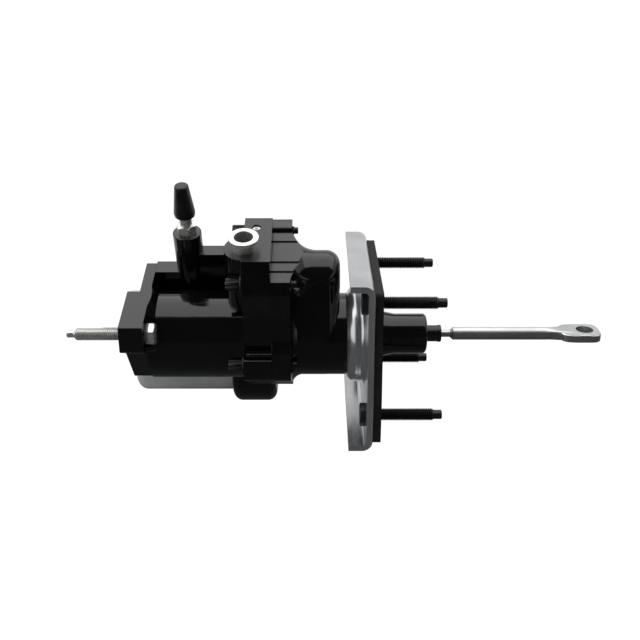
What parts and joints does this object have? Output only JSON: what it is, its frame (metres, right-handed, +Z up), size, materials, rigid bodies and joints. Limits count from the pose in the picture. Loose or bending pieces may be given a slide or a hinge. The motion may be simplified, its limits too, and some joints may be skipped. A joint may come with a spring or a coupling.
{
  "type": "hydraulic brake booster",
  "caption": "Hydraulic brake booster: cast power cylinder and spool cover, accumulator can, firewall bracket with studs, and a pedal push rod with an eye.",
  "frame": {"origin": "centre of the firewall face of the gasket, on the pedal rod's axis", "axes": "+X rearwards to the pedal along the rod, +Z up, -Y the side of the near ear and the leaning pressure port"},
  "size_m": [0.4274, 0.1583, 0.2111],
  "materials": {
    "cast_paint": "gloss black paint on a casting",
    "zinc_plate": "bright zinc plate on pressed steel",
    "gasket_foam": "dense black foam rubber",
    "black_phosphate": "black phosphate and oil",
    "bright_steel": "turned and zinc plated",
    "rod_steel": "forged and zinc plated, satin",
    "black_rubber": "moulded, satin",
    "plunger_black": "black finish",
    "can_steel": "satin steel",
    "machined_steel": "ground steel",
    "piston_aluminium": "turned",
    "spring_steel": "oil tempered wire"
  },
  "bodies": {
    "booster": {"housing": "cast_paint", "rear_cover": "cast_paint", "joint_seal": "black_rubber", "cover_screws": "black_phosphate", "input_seal": "black_rubber", "mounting_bracket": "zinc_plate", "bracket_nut": "black_phosphate", "firewall_gasket": "gasket_foam", "firewall_studs": "black_phosphate", "master_cylinder_bolts": "bright_steel", "pressure_port_fitting": "bright_steel", "port_o_ring": "black_rubber", "gallery_plug": "bright_steel", "return_nipple": "bright_steel", "piston_seal": "black_rubber", "spool_sleeve": "machined_steel", "spool_plug": "machined_steel", "spool_plug_o_ring": "black_rubber", "spool_plug_ring": "black_phosphate", "spool_spring": "spring_steel", "piston_return_spring": "spring_steel", "spring_retainer": "bright_steel", "accumulator_can": "can_steel", "accumulator_o_ring": "black_rubber", "accumulator_ring": "black_phosphate", "accumulator_valve": "machined_steel"},
    "input": {"input_plunger": "plunger_black", "ball_retainer": "bright_steel"},
    "rod": {"pedal_rod": "rod_steel"},
    "piston": {"power_piston": "machined_steel", "lever_pins": "bright_steel", "output_rod": "bright_steel", "output_rod_clip": "black_phosphate"},
    "lever": {"control_lever": "machined_steel"},
    "spool": {"spool_valve": "machined_steel", "spool_link_pin": "bright_steel"},
    "gas_piston": {"accumulator_piston": "piston_aluminium", "accumulator_piston_seal": "black_rubber"},
    "bleeder": {"bleeder_screw": "bright_steel"},
    "cap": {"bleeder_cap": "black_rubber"}
  },
  "joints": [
    {"name": "pedal_slide", "type": "slide", "parent": "booster", "child": "input", "axis": [-1, 0, 0], "range_m": [0, 0.03], "stiffness_N_per_m": 1500, "springref_m": -0.004},
    {"name": "rod_swivel", "type": "hinge", "parent": "input", "child": "rod", "pos_m": [0.044, 0, 0], "axis": [0, 1, 0], "range_deg": [-2, 2]},
    {"name": "piston_slide", "type": "slide", "parent": "booster", "child": "piston", "axis": [-1, 0, 0], "range_m": [0, 0.0281], "deforming": ["piston_return_spring"]},
    {"name": "lever_turn", "type": "hinge", "parent": "piston", "child": "lever", "pos_m": [-0.074, 0, 0], "axis": [0, 1, 0], "range_deg": [0, 25]},
    {"name": "spool_slide", "type": "slide", "parent": "booster", "child": "spool", "axis": [-1, 0, 0], "range_m": [0, 0.0031], "deforming": ["spool_spring"]},
    {"name": "accumulator_slide", "type": "slide", "parent": "booster", "child": "gas_piston", "axis": [-1, 0, 0], "range_m": [0, 0.06]},
    {"name": "bleeder_turn", "type": "hinge", "parent": "booster", "child": "bleeder", "pos_m": [-0.1536, 0.01142, 0.08783], "axis": [0, -0.309, 0.9511], "range_deg": [0, 360]},
    {"name": "cap_pull", "type": "slide", "parent": "bleeder", "child": "cap", "axis": [0, -0.309, 0.9511], "range_m": [0, 0.035]}
  ],
  "couplings": [
    {"joint": "piston_slide", "follows": "pedal_slide", "ratio": 0.93333},
    {"joint": "spool_slide", "follows": "pedal_slide", "ratio": 0.1},
    {"joint": "lever_turn", "follows": "pedal_slide", "rad_per_m": 14.362}
  ]
}
